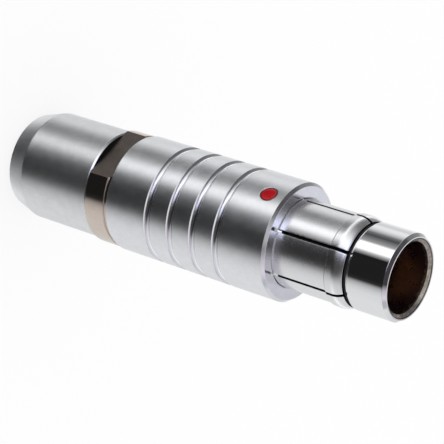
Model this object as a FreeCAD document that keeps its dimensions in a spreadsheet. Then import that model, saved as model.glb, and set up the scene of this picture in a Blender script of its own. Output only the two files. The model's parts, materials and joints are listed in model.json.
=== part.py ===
import FreeCAD, Part
import Sketcher
import math
import os

# Round push-pull cable plug, millimetres. It stands on its cable end:
# +Z runs along the axis to the mating nose, and the origin is the centre of
# the rear face. The index dot looks along -Y, the spanner flats along +Y and -Y.

doc = FreeCAD.newDocument("circular_connector")


# Driving dimensions

dim = doc.addObject("Spreadsheet::Sheet", "Dim")
driving = [
    # Back nut
    ("nut_length", "16.75"),
    ("nut_step", "0.5"),
    ("nut_end_drop", "1.1"),
    ("nut_cone_length", "3.6"),
    ("nut_edge_chamfer", "0.3"),
    ("nut_end_round", "0.35"),
    ("nut_end_wall", "3.75"),
    ("cable_bore_length", "3.4"),
    ("cable_bore_chamfer", "0.35"),
    ("nut_cone_seat_length", "3.0"),
    # Clamp body: collar with spanner flats, neck under the sleeve, rear thread
    ("collar_length", "3.75"),
    ("collar_step", "0.15"),
    ("collar_chamfer", "0.3"),
    ("shoulder_length", "2.0"),
    ("flat_depth", "1.45"),
    ("flat_length", "7.35"),
    ("nut_wall", "1.45"),
    ("body_wall", "1.4"),
    # Grip sleeve
    ("sleeve_length", "29.3"),
    ("sleeve_radius", "9.0"),
    ("sleeve_front_chamfer", "0.4"),
    ("sleeve_front_chamfer_length", "0.57"),
    ("sleeve_rear_chamfer", "0.15"),
    ("sleeve_lip_chamfer", "0.2"),
    ("skirt_length", "9.9"),
    ("mouth_wall", "0.3"),
    ("skirt_wall", "0.65"),
    ("chamber_wall", "1.4"),
    ("front_wall", "2.27"),
    ("groove_count", "4"),
    ("groove_pitch", "4.22"),
    ("groove_width", "1.2"),
    ("groove_depth", "0.38"),
    ("front_groove_setback", "8.7"),
    ("dot_radius", "1.32"),
    ("dot_depth", "0.6"),
    ("dot_setback", "3.05"),
    ("dot_edge_round", "0.12"),
    # Sleeve travel and its stops
    ("release_travel", "0.55"),
    ("travel_clearance", "0.05"),
    ("stop_ring_length", "1.95"),
    ("stop_flange_length", "3.4"),
    ("stop_flange_clearance", "0.4"),
    ("neck_clearance", "0.15"),
    # Latch sleeve with its spring fingers
    ("finger_wall", "0.53"),
    ("latch_seat_gap", "1.0"),
    ("finger_reach", "11.74"),
    ("finger_count", "6"),
    ("slot_width", "0.45"),
    ("slot_setback", "0.65"),
    ("head_height", "0.25"),
    ("head_tip_drop", "0.43"),
    ("head_inner_bead", "0.15"),
    ("head_ramp_length", "1.25"),
    ("head_crest_length", "0.3"),
    ("head_bevel_length", "0.85"),
    ("head_round", "0.3"),
    # Nose shell
    ("nose_length", "6.77"),
    ("nose_step", "0.15"),
    ("nose_gap", "0.49"),
    ("nose_rear_chamfer", "0.24"),
    ("nose_rear_chamfer_length", "0.5"),
    ("nose_lead_drop", "0.51"),
    ("nose_lead_length", "0.6"),
    ("nose_rim_width", "0.08"),
    ("nose_wall", "1.22"),
    ("bore_mouth_depth", "0.47"),
    ("bore_depth", "6.4"),
    ("rib_length", "2.1"),
    ("rib_height", "0.71"),
    ("insert_step", "0.31"),
    ("finger_relief_depth", "0.45"),
    ("shell_thread_length", "6.1"),
    ("nose_seal_width", "0.5"),
    ("nose_seal_thickness", "0.4"),
    # Insulators and contacts
    ("front_insulator_length", "8.9"),
    ("shield_ratio", "0.64"),
    ("shield_flange_clearance", "0.5"),
    ("shield_flange_length", "1.5"),
    ("shield_wall", "0.5"),
    ("shield_recess", "6.0"),
    ("shield_tail", "6.0"),
    ("shield_slot_width", "0.4"),
    ("shield_slot_length", "4.0"),
    ("rear_insulator_length", "12.5"),
    ("centre_insulator_recess", "3.4"),
    ("pin_ratio", "0.3125"),
    ("pin_recess", "5.0"),
    ("pin_tip_ratio", "0.6"),
    ("pin_flange_step", "0.7"),
    ("pin_flange_length", "1.5"),
    ("cup_wall", "0.4"),
    ("cup_length", "8.5"),
    ("cup_bore_depth", "5.0"),
    ("spacer_wall", "0.8"),
    ("lock_ring_length", "3.0"),
    ("lock_ring_recess", "2.5"),
    ("lock_ring_wall", "1.6"),
    ("key_slot_width", "1.2"),
    ("key_slot_depth", "1.0"),
    # Cable clamp
    ("gland_wall", "1.3"),
    ("collet_head_wall", "0.75"),
    ("collet_head_length", "2.6"),
    ("collet_tube_length", "5.0"),
    ("collet_cone_gap", "0.3"),
    ("collet_head_clearance", "0.15"),
    ("collet_slot_count", "6"),
    ("collet_slot_width", "0.6"),
    ("washer_thickness", "0.7"),
    ("cable_seal_length", "2.6"),
    ("screen_cone_flange", "1.0"),
    ("screen_cone_base_drop", "0.9"),
    ("screen_cone_taper", "0.6"),
    ("screen_cone_wall", "0.5"),
    ("screen_cone_length", "3.9"),
    ("screen_gap", "0.25"),
    # Clearances between pieces that fit into each other
    ("sliding_clearance", "0.05"),
    ("thread_clearance", "0.05"),
    ("fixed_clearance", "0.03"),
    ("face_clearance", "0.02"),
]
for row, (alias, text) in enumerate(driving, start=1):
    dim.set("A%d" % row, alias)
    dim.set("B%d" % row, text)
    dim.setAlias("B%d" % row, alias)
doc.recompute()


# Radii, worked inwards from the sleeve's through walls, steps and clearances

radii = doc.addObject("Spreadsheet::Sheet", "Radii")
turnings = [
    ("mouth_bore_radius", "Dim.sleeve_radius - Dim.mouth_wall"),
    ("shoulder_radius", "mouth_bore_radius - Dim.sliding_clearance"),
    ("skirt_bore_radius", "Dim.sleeve_radius - Dim.skirt_wall"),
    ("neck_radius", "skirt_bore_radius - Dim.sliding_clearance"),
    ("chamber_radius", "Dim.sleeve_radius - Dim.chamber_wall"),
    ("stop_flange_radius", "chamber_radius - Dim.stop_flange_clearance"),
    ("sleeve_bore_radius", "Dim.sleeve_radius - Dim.front_wall"),
    ("latch_radius", "sleeve_bore_radius - Dim.thread_clearance"),
    ("finger_bore_radius", "latch_radius - Dim.finger_wall"),
    ("head_crest_radius", "latch_radius + Dim.head_height"),
    ("head_tip_radius", "head_crest_radius - Dim.head_tip_drop"),
    ("head_inner_radius", "finger_bore_radius - Dim.head_inner_bead"),
    ("guide_radius", "finger_bore_radius - Dim.sliding_clearance"),
    ("guide_bore_radius", "guide_radius + Dim.thread_clearance"),
    ("finger_relief_radius", "finger_bore_radius - Dim.finger_relief_depth"),
    ("nose_seal_radius", "finger_relief_radius + Dim.nose_seal_width"),
    ("nose_radius", "latch_radius - Dim.nose_step"),
    ("nose_lead_radius", "nose_radius - Dim.nose_lead_drop"),
    ("bore_mouth_radius", "nose_lead_radius - Dim.nose_rim_width"),
    ("bore_radius", "nose_radius - Dim.nose_wall"),
    ("rib_radius", "bore_radius - Dim.rib_height"),
    ("insert_radius", "bore_radius - Dim.insert_step"),
    ("shield_flange_radius", "insert_radius - Dim.shield_flange_clearance"),
    ("shield_radius", "insert_radius * Dim.shield_ratio"),
    ("pin_radius", "shield_radius * Dim.pin_ratio"),
    ("pin_tip_round", "pin_radius * Dim.pin_tip_ratio"),
    ("pin_flange_radius", "pin_radius + Dim.pin_flange_step"),
    ("cup_bore_radius", "pin_radius"),
    ("cup_radius", "cup_bore_radius + Dim.cup_wall"),
    ("lock_ring_bore_radius", "insert_radius - Dim.lock_ring_wall"),
    ("collar_radius", "Dim.sleeve_radius - Dim.collar_step"),
    ("nut_radius", "Dim.sleeve_radius - Dim.nut_step"),
    ("nut_end_radius", "nut_radius - Dim.nut_end_drop"),
    ("nut_thread_radius", "nut_radius - Dim.nut_wall"),
    ("rear_thread_radius", "nut_thread_radius - Dim.thread_clearance"),
    ("cable_bore_radius", "nut_radius - Dim.nut_end_wall"),
    ("collet_head_radius", "rear_thread_radius - Dim.collet_head_wall"),
    ("body_bore_radius", "rear_thread_radius - Dim.body_wall"),
    ("cable_radius", "body_bore_radius - Dim.gland_wall"),
    ("screen_cone_base_radius", "body_bore_radius - Dim.screen_cone_base_drop"),
    ("screen_cone_tip_radius", "screen_cone_base_radius - Dim.screen_cone_taper"),
    ("screen_cone_bore_radius", "screen_cone_tip_radius - Dim.screen_cone_wall"),
]
for row, (alias, formula) in enumerate(turnings, start=1):
    radii.set("A%d" % row, alias)
    radii.set("B%d" % row, "=" + formula)
    radii.setAlias("B%d" % row, alias)
    doc.recompute()


# Places along the axis, worked out in the same way

place = doc.addObject("Spreadsheet::Sheet", "Place")
stations = [
    ("nut_front", "Dim.nut_length"),
    ("nut_cone_seat", "Dim.cable_bore_length + Dim.nut_cone_seat_length"),
    ("body_rear", "nut_cone_seat + Dim.collet_head_length"),
    ("collar_front", "nut_front + Dim.collar_length"),
    ("shoulder_front", "collar_front + Dim.shoulder_length"),
    ("flat_front", "nut_front + Dim.flat_length"),
    ("sleeve_rear", "collar_front + Dim.release_travel + Dim.travel_clearance"),
    ("mouth_floor", "shoulder_front + Dim.release_travel + Dim.neck_clearance"),
    ("sleeve_front", "sleeve_rear + Dim.sleeve_length"),
    ("stop_ring_rear", "sleeve_rear + Dim.skirt_length"),
    ("stop_ring_front", "stop_ring_rear + Dim.stop_ring_length"),
    ("neck_front", "stop_ring_rear - Dim.release_travel - Dim.neck_clearance"),
    ("flange_rear", "stop_ring_front + Dim.travel_clearance"),
    ("flange_front", "flange_rear + Dim.stop_flange_length"),
    ("sleeve_step", "flange_front + Dim.release_travel + Dim.travel_clearance"),
    ("latch_rear", "sleeve_step + Dim.latch_seat_gap"),
    ("slot_root", "sleeve_front + Dim.slot_setback"),
    ("finger_tip", "sleeve_front + Dim.finger_reach"),
    ("head_crest", "finger_tip - Dim.head_bevel_length - Dim.head_crest_length"),
    ("head_line", "head_crest - Dim.head_ramp_length"),
    ("nose_rear", "finger_tip + Dim.nose_gap"),
    ("nose_front", "nose_rear + Dim.nose_length"),
    ("bore_floor", "nose_front - Dim.bore_depth"),
    ("rib_rear", "bore_floor - Dim.rib_length"),
    ("shell_rear", "neck_front - Dim.shell_thread_length"),
    ("seal_front", "nose_rear - Dim.face_clearance"),
    ("seal_rear", "seal_front - Dim.nose_seal_thickness"),
    ("shield_flange_front", "rib_rear - Dim.front_insulator_length"),
    ("shield_flange_rear", "shield_flange_front - Dim.shield_flange_length"),
    ("shield_front", "nose_front - Dim.shield_recess"),
    ("shield_rear", "shield_flange_rear - Dim.shield_tail"),
    ("centre_insulator_front", "shield_front - Dim.centre_insulator_recess"),
    ("pin_front", "nose_front - Dim.pin_recess"),
    ("pin_flange_front", "shield_rear + Dim.pin_flange_length"),
    ("cup_rear", "shield_rear - Dim.cup_length"),
    ("rear_insulator_rear", "shield_flange_rear - Dim.rear_insulator_length"),
    ("lock_ring_rear", "shell_rear + Dim.lock_ring_recess"),
    ("lock_ring_front", "lock_ring_rear + Dim.lock_ring_length"),
    ("collet_front", "body_rear + Dim.collet_tube_length"),
    ("cable_seal_rear", "collet_front + Dim.washer_thickness"),
    ("cable_seal_front", "cable_seal_rear + Dim.cable_seal_length"),
    ("screen_cone_rear", "cable_seal_front + Dim.washer_thickness"),
    ("screen_flange_front", "screen_cone_rear + Dim.screen_cone_flange"),
    ("screen_cone_front", "screen_flange_front + Dim.screen_cone_length"),
    ("front_groove", "sleeve_front - Dim.front_groove_setback"),
    ("dot_height", "sleeve_front - Dim.dot_setback"),
]
for row, (alias, formula) in enumerate(stations, start=1):
    place.set("A%d" % row, alias)
    place.set("B%d" % row, "=" + formula)
    place.setAlias("B%d" % row, alias)
    doc.recompute()


# Tools for making the bodies

GEOMETRY_TOLERANCE = 1e-4


def value(expression):
    """The number that an expression on the sheets comes to."""
    return float(dim.evalExpression(expression))


def origin_feature(body, role):
    for feature in body.Origin.OriginFeatures:
        if feature.Role == role:
            return feature
    raise RuntimeError("no origin feature " + role)


def new_body(label):
    body = doc.addObject("PartDesign::Body", label)
    body.Label = label
    return body


def new_sketch(body, name, plane):
    sketch = body.newObject("Sketcher::SketchObject", body.Name + "_" + name)
    sketch.AttachmentSupport = [(origin_feature(body, plane), "")]
    sketch.MapMode = "FlatFace"
    return sketch


def bind_point(sketch, geometry, end, across, along):
    """Hold one end of a line at (across, along), both given as expressions.
    In a sketch, -1 is the horizontal axis with the origin at its point 1, and
    -2 is the vertical axis.
    """
    for kind, expression in (("DistanceX", across), ("DistanceY", along)):
        number = value(expression)
        if abs(number) < GEOMETRY_TOLERANCE:
            axis = -2 if kind == "DistanceX" else -1
            sketch.addConstraint(Sketcher.Constraint("PointOnObject", geometry, end, axis))
            continue
        index = sketch.addConstraint(Sketcher.Constraint(kind, -1, 1, geometry, end, number))
        sketch.setExpression("Constraints[%d]" % index, expression)


def outline(body, name, plane, corners):
    """A closed outline of straight lines through corners given as expressions."""
    sketch = new_sketch(body, name, plane)
    points = [FreeCAD.Vector(value(across), value(along), 0) for across, along in corners]
    count = len(points)
    for k in range(count):
        sketch.addGeometry(Part.LineSegment(points[k], points[(k + 1) % count]), False)
    for k in range(count):
        sketch.addConstraint(Sketcher.Constraint("Coincident", k, 2, (k + 1) % count, 1))
    for k, (across, along) in enumerate(corners):
        bind_point(sketch, k, 1, across, along)
    doc.recompute()
    return sketch


def turned(label, corners):
    """A turned piece: an outline of (radius, height) corners about the Z axis."""
    body = new_body(label)
    sketch = outline(body, "section", "XZ_Plane", corners)
    turn = body.newObject("PartDesign::Revolution", label + "_turned")
    turn.Profile = sketch
    turn.ReferenceAxis = (sketch, ["V_Axis"])
    turn.Angle = 360.0
    body.Tip = turn
    doc.recompute()
    return body


def removes_material(body, feature, make):
    """Set up a cut, and turn its direction round if it took nothing away."""
    before = body.Shape.Volume
    make(False)
    body.Tip = feature
    doc.recompute()
    if not before - body.Shape.Volume > GEOMETRY_TOLERANCE:
        make(True)
        doc.recompute()
    if not before - body.Shape.Volume > GEOMETRY_TOLERANCE:
        raise RuntimeError(feature.Label + " cuts nothing")


def radial_slots(body, name, corners, width, count):
    """Slots of one width through the +X side, repeated evenly about the axis."""
    sketch = outline(body, name + "_side", "XZ_Plane", corners)
    slot = body.newObject("PartDesign::Pocket", body.Name + "_" + name)
    slot.Profile = sketch
    slot.SideType = "Symmetric"
    slot.setExpression("Length", width)
    removes_material(body, slot, lambda reverse: setattr(slot, "Reversed", reverse))
    repeat_about_axis(body, slot, name, count)


def repeat_about_axis(body, feature, name, count):
    pattern = body.newObject("PartDesign::PolarPattern", body.Name + "_" + name + "_all")
    pattern.Originals = [feature]
    pattern.Axis = (origin_feature(body, "Z_Axis"), [""])
    pattern.Angle = 360.0
    pattern.setExpression("Occurrences", count)
    body.Tip = pattern
    doc.recompute()


def edges_at(body, radius, height):
    """Names of the circular edges of a turned piece at one radius and height."""
    names = []
    for number, edge in enumerate(body.Tip.Shape.Edges, start=1):
        curve = edge.Curve
        if not isinstance(curve, Part.Circle):
            continue
        same_radius = abs(curve.Radius - value(radius)) < GEOMETRY_TOLERANCE
        same_height = abs(curve.Center.z - value(height)) < GEOMETRY_TOLERANCE
        if same_radius and same_height:
            names.append("Edge%d" % number)
    if not names:
        raise RuntimeError("no edge there on " + body.Label)
    return names


def round_edges(body, name, places, radius):
    base = body.Tip
    names = [edge for at_radius, at_height in places for edge in edges_at(body, at_radius, at_height)]
    rounding = body.newObject("PartDesign::Fillet", body.Name + "_" + name)
    rounding.Base = (base, names)
    rounding.setExpression("Radius", radius)
    body.Tip = rounding
    doc.recompute()


# Core: the shell that plugs in, and what it holds

def make_nose_shell():
    shell = turned("nose_shell", [
        ("Radii.insert_radius", "Place.shell_rear"),
        ("Radii.guide_radius", "Place.shell_rear"),
        ("Radii.guide_radius", "Place.flange_rear"),
        ("Radii.stop_flange_radius", "Place.flange_rear"),
        ("Radii.stop_flange_radius", "Place.flange_front"),
        ("Radii.guide_radius", "Place.flange_front"),
        ("Radii.guide_radius", "Place.sleeve_front"),
        ("Radii.finger_relief_radius", "Place.slot_root"),
        ("Radii.finger_relief_radius", "Place.nose_rear"),
        ("Radii.nose_radius - Dim.nose_rear_chamfer", "Place.nose_rear"),
        ("Radii.nose_radius", "Place.nose_rear + Dim.nose_rear_chamfer_length"),
        ("Radii.nose_radius", "Place.nose_front - Dim.nose_lead_length"),
        ("Radii.nose_lead_radius", "Place.nose_front"),
        ("Radii.bore_mouth_radius", "Place.nose_front"),
        ("Radii.bore_radius", "Place.nose_front - Dim.bore_mouth_depth"),
        ("Radii.bore_radius", "Place.bore_floor"),
        ("Radii.rib_radius", "Place.bore_floor"),
        ("Radii.rib_radius", "Place.rib_rear"),
        ("Radii.insert_radius", "Place.rib_rear"),
    ])
    return shell


def make_nose_seal_ring():
    inner = "Radii.finger_relief_radius + Dim.fixed_clearance"
    return turned("nose_seal_ring", [
        (inner, "Place.seal_rear"),
        ("Radii.nose_seal_radius", "Place.seal_rear"),
        ("Radii.nose_seal_radius", "Place.seal_front"),
        (inner, "Place.seal_front"),
    ])


def make_front_insulator():
    outer = "Radii.insert_radius - Dim.fixed_clearance"
    inner = "Radii.shield_radius + Dim.fixed_clearance"
    return turned("front_insulator", [
        (inner, "Place.shield_flange_front"),
        (outer, "Place.shield_flange_front"),
        (outer, "Place.rib_rear"),
        (inner, "Place.rib_rear"),
    ])


def make_shield_contact():
    bore = "Radii.shield_radius - Dim.shield_wall"
    contact = turned("shield_contact", [
        (bore, "Place.shield_rear"),
        ("Radii.shield_radius", "Place.shield_rear"),
        ("Radii.shield_radius", "Place.shield_flange_rear"),
        ("Radii.shield_flange_radius", "Place.shield_flange_rear"),
        ("Radii.shield_flange_radius", "Place.shield_flange_front"),
        ("Radii.shield_radius", "Place.shield_flange_front"),
        ("Radii.shield_radius", "Place.shield_front"),
        (bore, "Place.shield_front"),
    ])
    clear = "Radii.shield_radius + Dim.shield_wall"
    front = "Place.shield_front + Dim.shield_wall"
    root = "Place.shield_front - Dim.shield_slot_length"
    inside = "Radii.shield_radius - 2 * Dim.shield_wall"
    radial_slots(contact, "slot", [(inside, root), (clear, root), (clear, front), (inside, front)],
                 "Dim.shield_slot_width", "4")
    return contact


def make_centre_insulator():
    outer = "Radii.shield_radius - Dim.shield_wall - Dim.fixed_clearance"
    inner = "Radii.pin_radius + Dim.fixed_clearance"
    return turned("centre_insulator", [
        (inner, "Place.pin_flange_front"),
        (outer, "Place.pin_flange_front"),
        (outer, "Place.centre_insulator_front"),
        (inner, "Place.centre_insulator_front"),
    ])


def make_centre_contact():
    contact = turned("centre_contact", [
        ("0", "Place.cup_rear + Dim.cup_bore_depth"),
        ("Radii.cup_bore_radius", "Place.cup_rear + Dim.cup_bore_depth"),
        ("Radii.cup_bore_radius", "Place.cup_rear"),
        ("Radii.cup_radius", "Place.cup_rear"),
        ("Radii.cup_radius", "Place.shield_rear"),
        ("Radii.pin_flange_radius", "Place.shield_rear"),
        ("Radii.pin_flange_radius", "Place.pin_flange_front"),
        ("Radii.pin_radius", "Place.pin_flange_front"),
        ("Radii.pin_radius", "Place.pin_front"),
        ("0", "Place.pin_front"),
    ])
    round_edges(contact, "tip", [("Radii.pin_radius", "Place.pin_front")], "Radii.pin_tip_round")
    return contact


def make_rear_insulator():
    outer = "Radii.insert_radius - Dim.fixed_clearance"
    wide = "Radii.shield_radius + Dim.fixed_clearance"
    narrow = "Radii.cup_radius + Dim.fixed_clearance"
    return turned("rear_insulator", [
        (narrow, "Place.rear_insulator_rear"),
        (outer, "Place.rear_insulator_rear"),
        (outer, "Place.shield_flange_rear"),
        (wide, "Place.shield_flange_rear"),
        (wide, "Place.shield_rear"),
        (narrow, "Place.shield_rear"),
    ])


def make_spacer_tube():
    outer = "Radii.insert_radius - Dim.fixed_clearance"
    inner = "Radii.insert_radius - Dim.fixed_clearance - Dim.spacer_wall"
    return turned("spacer_tube", [
        (inner, "Place.lock_ring_front"),
        (outer, "Place.lock_ring_front"),
        (outer, "Place.rear_insulator_rear"),
        (inner, "Place.rear_insulator_rear"),
    ])


def make_insert_lock_ring():
    outer = "Radii.insert_radius - Dim.fixed_clearance"
    ring = turned("insert_lock_ring", [
        ("Radii.lock_ring_bore_radius", "Place.lock_ring_rear"),
        (outer, "Place.lock_ring_rear"),
        (outer, "Place.lock_ring_front"),
        ("Radii.lock_ring_bore_radius", "Place.lock_ring_front"),
    ])
    inside = "Radii.lock_ring_bore_radius / 2"
    clear = "Radii.insert_radius + Dim.key_slot_depth"
    below = "Place.lock_ring_rear - Dim.key_slot_depth"
    floor = "Place.lock_ring_rear + Dim.key_slot_depth"
    radial_slots(ring, "key_slot", [(inside, below), (clear, below), (clear, floor), (inside, floor)],
                 "Dim.key_slot_width", "2")
    return ring


# Core: the clamp body with its spanner flats, and the cable clamp

def make_clamp_body():
    shell_bore = "Radii.guide_bore_radius"
    body = turned("clamp_body", [
        ("Radii.body_bore_radius", "Place.body_rear"),
        ("Radii.rear_thread_radius", "Place.body_rear"),
        ("Radii.rear_thread_radius", "Place.nut_front"),
        ("Radii.collar_radius - Dim.collar_chamfer", "Place.nut_front"),
        ("Radii.collar_radius", "Place.nut_front + Dim.collar_chamfer"),
        ("Radii.collar_radius", "Place.collar_front"),
        ("Radii.shoulder_radius", "Place.collar_front"),
        ("Radii.shoulder_radius", "Place.shoulder_front"),
        ("Radii.neck_radius", "Place.shoulder_front"),
        ("Radii.neck_radius", "Place.neck_front"),
        (shell_bore, "Place.neck_front"),
        (shell_bore, "Place.shell_rear"),
        ("Radii.body_bore_radius", "Place.shell_rear"),
    ])
    across = "Radii.collar_radius - Dim.flat_depth"
    beyond = "Radii.collar_radius + Dim.collar_chamfer"
    below = "Place.nut_front - Dim.collar_chamfer"
    side = outline(body, "flat_side", "YZ_Plane", [
        (across, below),
        (beyond, below),
        (beyond, "Place.flat_front"),
        (across, "Place.flat_front"),
    ])
    flat = body.newObject("PartDesign::Pocket", "clamp_body_flat")
    flat.Profile = side
    flat.SideType = "Symmetric"
    flat.setExpression("Length", "3 * Radii.collar_radius")
    removes_material(body, flat, lambda reverse: setattr(flat, "Reversed", reverse))
    repeat_about_axis(body, flat, "flat", "2")
    return body


def make_back_nut():
    thread_bore = "Radii.nut_thread_radius"
    seat = "Radii.collet_head_radius + Dim.collet_head_clearance"
    thread_end = "Place.body_rear - Dim.washer_thickness"
    nut = turned("back_nut", [
        ("Radii.cable_bore_radius + Dim.cable_bore_chamfer", "0"),
        ("Radii.nut_end_radius", "0"),
        ("Radii.nut_radius", "Dim.nut_cone_length"),
        ("Radii.nut_radius", "Place.nut_front - Dim.nut_edge_chamfer"),
        ("Radii.nut_radius - Dim.nut_edge_chamfer", "Place.nut_front"),
        (thread_bore, "Place.nut_front"),
        (thread_bore, thread_end),
        (seat, thread_end),
        (seat, "Place.nut_cone_seat"),
        ("Radii.cable_bore_radius", "Dim.cable_bore_length"),
        ("Radii.cable_bore_radius", "Dim.cable_bore_chamfer"),
    ])
    round_edges(nut, "rear_edge", [("Radii.nut_end_radius", "0")], "Dim.nut_end_round")
    return nut


def make_cable_collet():
    tube = "Radii.body_bore_radius - Dim.fixed_clearance"
    tail = "Dim.cable_bore_length + Dim.collet_cone_gap"
    collet = turned("cable_collet", [
        ("Radii.cable_radius", tail),
        ("Radii.cable_bore_radius", tail),
        ("Radii.collet_head_radius", "Place.nut_cone_seat"),
        ("Radii.collet_head_radius", "Place.body_rear"),
        (tube, "Place.body_rear"),
        (tube, "Place.collet_front"),
        ("Radii.cable_radius", "Place.collet_front"),
    ])
    clear = "Radii.collet_head_radius + Dim.collet_slot_width"
    inside = "Radii.cable_radius / 2"
    below = "Dim.cable_bore_length - Dim.collet_slot_width"
    root = "Place.body_rear + Dim.collet_tube_length / 2"
    radial_slots(collet, "slot", [(inside, below), (clear, below), (clear, root), (inside, root)],
                 "Dim.collet_slot_width", "Dim.collet_slot_count")
    return collet


def make_gland_ring(label, rear, front):
    """One of the flat rings on the cable inside the clamp body."""
    outer = "Radii.body_bore_radius - Dim.fixed_clearance"
    return turned(label, [
        ("Radii.cable_radius", rear),
        (outer, rear),
        (outer, front),
        ("Radii.cable_radius", front),
    ])


def make_screen_cone():
    outer = "Radii.body_bore_radius - Dim.fixed_clearance"
    return turned("screen_cone", [
        ("Radii.screen_cone_bore_radius", "Place.screen_cone_rear"),
        (outer, "Place.screen_cone_rear"),
        (outer, "Place.screen_flange_front"),
        ("Radii.screen_cone_base_radius", "Place.screen_flange_front"),
        ("Radii.screen_cone_tip_radius", "Place.screen_cone_front"),
        ("Radii.screen_cone_bore_radius", "Place.screen_cone_front"),
    ])


def make_screen_clamp_ring():
    outer = "Radii.body_bore_radius - Dim.fixed_clearance"
    rear = "Place.screen_flange_front + Dim.screen_gap"
    return turned("screen_clamp_ring", [
        ("Radii.screen_cone_base_radius + Dim.screen_gap", rear),
        (outer, rear),
        (outer, "Place.shell_rear"),
        ("Radii.screen_cone_tip_radius + Dim.screen_gap", "Place.shell_rear"),
    ])


# Release sleeve: what the fingers pull back to unlatch the plug

def make_grip_sleeve():
    skirt = "Radii.skirt_bore_radius"
    bore = "Radii.sleeve_bore_radius"
    sleeve = turned("grip_sleeve", [
        (skirt, "Place.mouth_floor"),
        ("Radii.mouth_bore_radius", "Place.mouth_floor"),
        ("Radii.mouth_bore_radius", "Place.sleeve_rear"),
        ("Dim.sleeve_radius - Dim.sleeve_rear_chamfer", "Place.sleeve_rear"),
        ("Dim.sleeve_radius", "Place.sleeve_rear + Dim.sleeve_rear_chamfer"),
        ("Dim.sleeve_radius", "Place.sleeve_front - Dim.sleeve_front_chamfer_length"),
        ("Dim.sleeve_radius - Dim.sleeve_front_chamfer", "Place.sleeve_front"),
        ("Radii.sleeve_bore_radius + Dim.sleeve_lip_chamfer", "Place.sleeve_front"),
        (bore, "Place.sleeve_front - Dim.sleeve_lip_chamfer"),
        (bore, "Place.sleeve_step"),
        ("Radii.chamber_radius", "Place.sleeve_step"),
        ("Radii.chamber_radius", "Place.stop_ring_front"),
        (skirt, "Place.stop_ring_front"),
    ])
    cut_grip_grooves(sleeve)
    cut_dot_hole(sleeve)
    return sleeve


def cut_grip_grooves(sleeve):
    """Round-bottomed finger grooves: a circle turned about the axis, repeated."""
    arc_radius = "((Dim.groove_width / 2)^2 + Dim.groove_depth^2) / (2 * Dim.groove_depth)"
    centre = "Dim.sleeve_radius - Dim.groove_depth + " + arc_radius
    sketch = new_sketch(sleeve, "groove_section", "XZ_Plane")
    middle = FreeCAD.Vector(value(centre), value("Place.front_groove"), 0)
    circle = sketch.addGeometry(Part.Circle(middle, FreeCAD.Vector(0, 0, 1), value(arc_radius)), False)
    size = sketch.addConstraint(Sketcher.Constraint("Radius", circle, value(arc_radius)))
    sketch.setExpression("Constraints[%d]" % size, arc_radius)
    bind_point(sketch, circle, 3, centre, "Place.front_groove")
    groove = sleeve.newObject("PartDesign::Groove", "grip_sleeve_groove")
    groove.Profile = sketch
    groove.ReferenceAxis = (sketch, ["V_Axis"])
    groove.Angle = 360.0
    removes_material(sleeve, groove, lambda reverse: setattr(groove, "Reversed", reverse))
    rows = sleeve.newObject("PartDesign::LinearPattern", "grip_sleeve_grooves")
    rows.Originals = [groove]
    rows.Direction = (origin_feature(sleeve, "Z_Axis"), [""])
    rows.Reversed = True
    rows.setExpression("Occurrences", "Dim.groove_count")
    rows.setExpression("Length", "(Dim.groove_count - 1) * Dim.groove_pitch")
    sleeve.Tip = rows
    doc.recompute()


def dot_sketch(body, radius):
    """The index dot's circle, on a plane below the sleeve's surface."""
    sketch = new_sketch(body, "dot_circle", "XZ_Plane")
    sketch.setExpression("AttachmentOffset.Base.z", "Dim.sleeve_radius - Dim.dot_depth")
    middle = FreeCAD.Vector(0, value("Place.dot_height"), 0)
    circle = sketch.addGeometry(Part.Circle(middle, FreeCAD.Vector(0, 0, 1), value(radius)), False)
    size = sketch.addConstraint(Sketcher.Constraint("Radius", circle, value(radius)))
    sketch.setExpression("Constraints[%d]" % size, radius)
    bind_point(sketch, circle, 3, "0", "Place.dot_height")
    doc.recompute()
    return sketch


def cut_dot_hole(sleeve):
    hole = sleeve.newObject("PartDesign::Pocket", "grip_sleeve_dot_hole")
    hole.Profile = dot_sketch(sleeve, "Dim.dot_radius")
    hole.setExpression("Length", "2 * Dim.dot_depth")
    before = sleeve.Shape.Volume
    hole.Reversed = True
    sleeve.Tip = hole
    doc.recompute()
    taken = before - sleeve.Shape.Volume
    full = math.pi * value("Dim.dot_radius") ** 2 * value("Dim.dot_depth")
    if not 0 < taken <= full:
        raise RuntimeError("the dot's hole is cut the wrong way")


def make_index_dot():
    dot = new_body("index_dot")
    sketch = dot_sketch(dot, "Dim.dot_radius - Dim.fixed_clearance")
    plug = dot.newObject("PartDesign::Pad", "index_dot_plug")
    plug.Profile = sketch
    plug.setExpression("Length", "Dim.dot_depth")
    dot.Tip = plug
    doc.recompute()
    outer = [number for number, edge in enumerate(plug.Shape.Edges, start=1)
             if isinstance(edge.Curve, Part.Circle)
             and abs(edge.Curve.Center.y + value("Dim.sleeve_radius")) < GEOMETRY_TOLERANCE]
    rounding = dot.newObject("PartDesign::Fillet", "index_dot_round")
    rounding.Base = (plug, ["Edge%d" % number for number in outer])
    rounding.setExpression("Radius", "Dim.dot_edge_round")
    dot.Tip = rounding
    doc.recompute()
    return dot


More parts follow.
